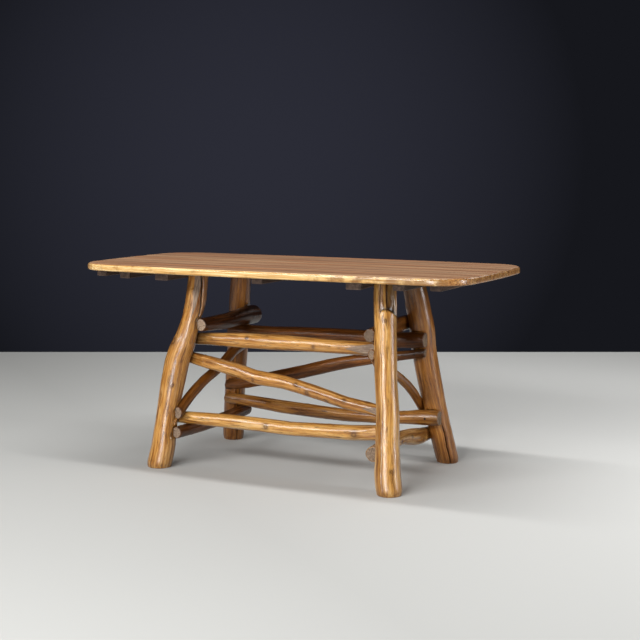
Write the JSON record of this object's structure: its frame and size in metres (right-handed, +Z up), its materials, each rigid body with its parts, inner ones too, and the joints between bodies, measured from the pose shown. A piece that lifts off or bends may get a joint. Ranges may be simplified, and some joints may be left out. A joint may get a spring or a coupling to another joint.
{
  "type": "rustic table",
  "caption": "Rustic table with a planked round-cornered top on four splayed peeled-trunk legs, tied by lapped straight, slanted and curved pole stretchers.",
  "frame": {"origin": "on the floor under the middle of the top", "axes": "+X along the length of the top, +Z up, and the front of the table, the side nearest the camera in the picture, faces -Y"},
  "size_m": [1.517, 0.712, 0.737],
  "materials": {
    "top_wood": "satin varnish",
    "cleat_wood": "unfinished, darkened by age",
    "leg_wood": "glossy amber varnish over peeled wood",
    "pole_wood": "glossy amber varnish over peeled wood",
    "iron": "dark, blackened"
  },
  "bodies": {
    "root": {"top_board_1": "top_wood", "top_board_2": "top_wood", "top_board_3": "top_wood", "top_board_4": "top_wood", "top_board_5": "top_wood", "top_board_6": "top_wood", "top_board_7": "top_wood", "top_board_8": "top_wood", "cleat_1": "cleat_wood", "cleat_2": "cleat_wood", "cleat_3": "cleat_wood", "cleat_4": "cleat_wood", "cleat_5": "cleat_wood", "left_bearer": "cleat_wood", "right_bearer": "cleat_wood", "front_left_leg": "leg_wood", "front_right_leg": "leg_wood", "back_left_leg": "leg_wood", "back_right_leg": "leg_wood", "front_upper_rail": "pole_wood", "front_diagonal_rail": "pole_wood", "front_lower_rail": "pole_wood", "back_upper_rail": "pole_wood", "back_diagonal_rail": "pole_wood", "back_lower_rail": "pole_wood", "left_upper_rail": "pole_wood", "left_brace": "pole_wood", "left_lower_rail": "pole_wood", "right_upper_rail": "pole_wood", "right_brace": "pole_wood", "right_lower_rail": "pole_wood", "front_rail_spikes": "iron", "back_rail_spikes": "iron", "left_end_spikes": "iron", "right_end_spikes": "iron", "bearer_bolts": "iron", "cleat_nails": "iron"}
  },
  "joints": []
}
